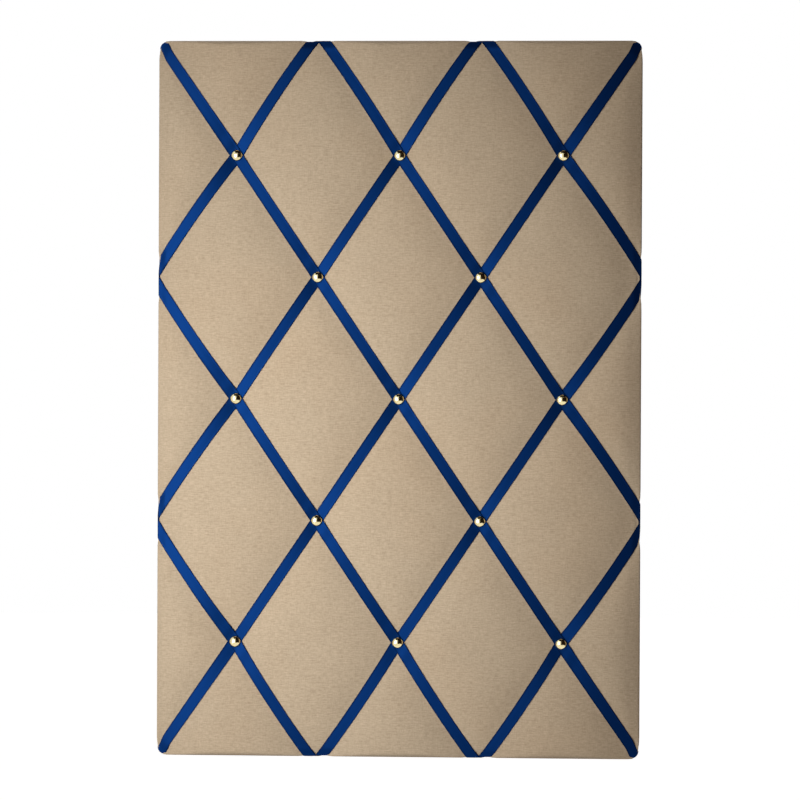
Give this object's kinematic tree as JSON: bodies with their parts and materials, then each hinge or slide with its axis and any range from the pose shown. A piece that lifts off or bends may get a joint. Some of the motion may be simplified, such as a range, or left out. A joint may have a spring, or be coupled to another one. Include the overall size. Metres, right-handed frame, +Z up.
{
  "type": "french memo board",
  "caption": "Padded cloth-covered wall board crossed by satin ribbons in a diamond lattice, with domed brass nails at the crossings and D-ring hangers on the back.",
  "frame": {"origin": "centre of the backing card's back face, which lies against the wall", "axes": "+Z up the hung board, -Y out of its padded front, +Y into the wall, +X to the right seen from the front"},
  "size_m": [0.4076, 0.0334, 0.6026],
  "materials": {
    "cover": "matt beige plain weave",
    "ribbon": "navy satin with fine selvedges",
    "brass": "polished",
    "wadding": "white polyester fleece",
    "core": "raw fibreboard",
    "card": "matt black card",
    "staple_wire": "galvanised wire",
    "hanger_steel": "nickel-plated"
  },
  "bodies": {
    "board": {"core_board": "core", "wadding": "wadding", "cover_cloth": "cover", "backing_card": "card", "upper_ribbon_1": "ribbon", "upper_ribbon_2": "ribbon", "upper_ribbon_3": "ribbon", "upper_ribbon_4": "ribbon", "upper_ribbon_5": "ribbon", "lower_ribbon_1": "ribbon", "lower_ribbon_2": "ribbon", "lower_ribbon_3": "ribbon", "lower_ribbon_4": "ribbon", "lower_ribbon_5": "ribbon", "stud_1": "brass", "stud_2": "brass", "stud_3": "brass", "stud_4": "brass", "stud_5": "brass", "stud_6": "brass", "stud_7": "brass", "stud_8": "brass", "stud_9": "brass", "stud_10": "brass", "stud_11": "brass", "stud_12": "brass", "stud_13": "brass", "ribbon_staple_1": "staple_wire", "ribbon_staple_2": "staple_wire", "ribbon_staple_3": "staple_wire", "ribbon_staple_4": "staple_wire", "ribbon_staple_5": "staple_wire", "ribbon_staple_6": "staple_wire", "ribbon_staple_7": "staple_wire", "ribbon_staple_8": "staple_wire", "ribbon_staple_9": "staple_wire", "ribbon_staple_10": "staple_wire", "ribbon_staple_11": "staple_wire", "ribbon_staple_12": "staple_wire", "ribbon_staple_13": "staple_wire", "ribbon_staple_14": "staple_wire", "ribbon_staple_15": "staple_wire", "ribbon_staple_16": "staple_wire", "ribbon_staple_17": "staple_wire", "ribbon_staple_18": "staple_wire", "ribbon_staple_19": "staple_wire", "ribbon_staple_20": "staple_wire", "left_hanger_strap": "hanger_steel", "left_hanger_screw": "hanger_steel", "right_hanger_strap": "hanger_steel", "right_hanger_screw": "hanger_steel"},
    "left_ring": {"left_d_ring": "hanger_steel"},
    "right_ring": {"right_d_ring": "hanger_steel"}
  },
  "joints": [
    {"name": "left_ring_swing", "type": "hinge", "parent": "board", "child": "left_ring", "pos_m": [-0.11, 0.0026, 0.205], "axis": [1, 0, 0], "range_deg": [0, 175]},
    {"name": "right_ring_swing", "type": "hinge", "parent": "board", "child": "right_ring", "pos_m": [0.11, 0.0026, 0.205], "axis": [1, 0, 0], "range_deg": [0, 175]}
  ]
}
